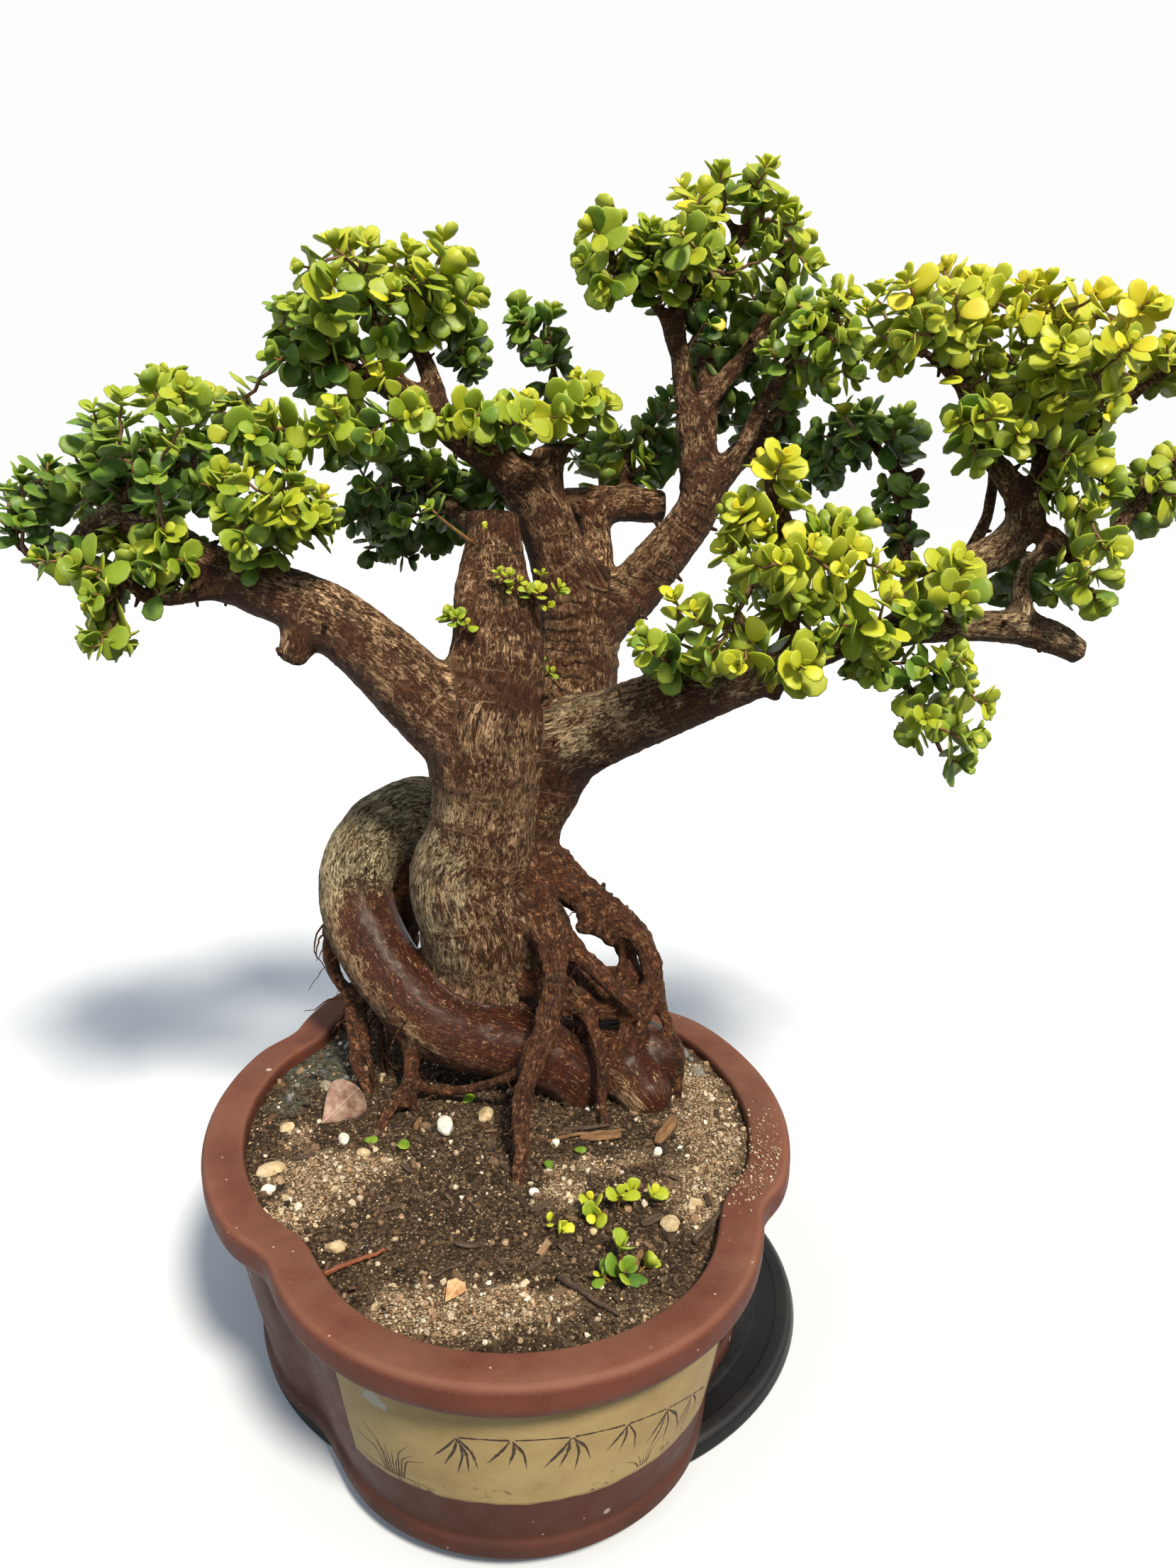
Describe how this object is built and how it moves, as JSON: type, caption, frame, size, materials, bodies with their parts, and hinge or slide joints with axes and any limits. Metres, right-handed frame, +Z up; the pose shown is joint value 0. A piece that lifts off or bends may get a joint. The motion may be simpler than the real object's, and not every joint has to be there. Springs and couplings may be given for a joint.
{
  "type": "dwarf jade bonsai in a pot",
  "caption": "Potted dwarf jade bonsai: forked thick trunk, looping exposed roots, fleshy round leaves, four-lobed clay pot with a flat rim on a round stand.",
  "frame": {"origin": "on the underside of the round stand, on the upright axis of the pot", "axes": "+Z up; the long axis of the pot lies along Y, and the plain panel of its wall that the picture shows faces -Y; the lowest left branch reaches towards -X"},
  "size_m": [0.748, 0.4896, 0.7358],
  "materials": {
    "bark": "matte",
    "clay": "matte",
    "soil": "matte",
    "black_plastic": "satin",
    "screen_plastic": "satin",
    "white_stone": "matte",
    "sandstone": "matte",
    "grey_stone": "matte",
    "bark_chip": "matte",
    "dry_leaf": "matte",
    "twig": "matte",
    "young_leaf": "satin",
    "leaf_sunny": "satin",
    "leaf_shade": "satin",
    "leaf_green": "satin"
  },
  "bodies": {
    "root": {"round_stand": "black_plastic", "pot": "clay", "drainage_screen_front": "screen_plastic", "drainage_screen_back": "screen_plastic", "tree_wood": "bark", "soil": "soil", "leaves_left_crown": "leaf_green", "leaves_left_outer": "leaf_green", "leaves_left_end": "leaf_green", "leaves_left_tail": "leaf_green", "leaves_left_back": "leaf_shade", "leaves_upper_left_crown": "leaf_green", "leaves_upper_left_lobe": "leaf_green", "leaves_upper_left_front": "leaf_green", "leaves_mid_front": "leaf_sunny", "leaves_mid_right": "leaf_sunny", "leaves_low_back": "leaf_shade", "leaves_mid_shoots": "leaf_green", "leaves_back_pad": "leaf_shade", "leaves_top_crown": "leaf_green", "leaves_top_left_sprig": "leaf_green", "leaves_top_tip": "leaf_green", "leaves_top_right": "leaf_green", "leaves_top_low_right": "leaf_sunny", "leaves_top_right_side": "leaf_green", "leaves_top_back": "leaf_shade", "leaves_right_back": "leaf_shade", "leaves_right_back_low": "leaf_shade", "leaves_front_small": "leaf_sunny", "leaves_low_right_left": "leaf_sunny", "leaves_low_right_crown": "leaf_sunny", "leaves_low_right_mid": "leaf_sunny", "leaves_low_right_end": "leaf_sunny", "leaves_low_right_front": "leaf_sunny", "leaves_low_right_tail": "leaf_sunny", "leaves_far_right_left": "leaf_sunny", "leaves_far_right_crown": "leaf_sunny", "leaves_far_right_end": "leaf_sunny", "leaves_far_right_in": "leaf_sunny", "leaves_far_right_mid": "leaf_sunny", "leaves_far_right_low": "leaf_sunny", "leaves_far_right_side": "leaf_sunny", "leaves_far_right_back": "leaf_sunny", "sprout_stub_left": "young_leaf", "sprout_stub_front": "young_leaf", "sprout_stub_right": "young_leaf", "sprout_fork": "young_leaf", "white_pebble": "white_stone", "tan_pebble": "sandstone", "pale_stone": "sandstone", "round_stone": "sandstone", "grey_stone": "grey_stone", "bark_chip_left": "bark_chip", "bark_chip_right": "bark_chip", "dry_leaf": "dry_leaf", "leaf_scrap": "dry_leaf", "red_twig": "twig", "dark_twig": "twig", "seedling_right": "young_leaf", "seedling_front": "young_leaf"}
  },
  "joints": []
}
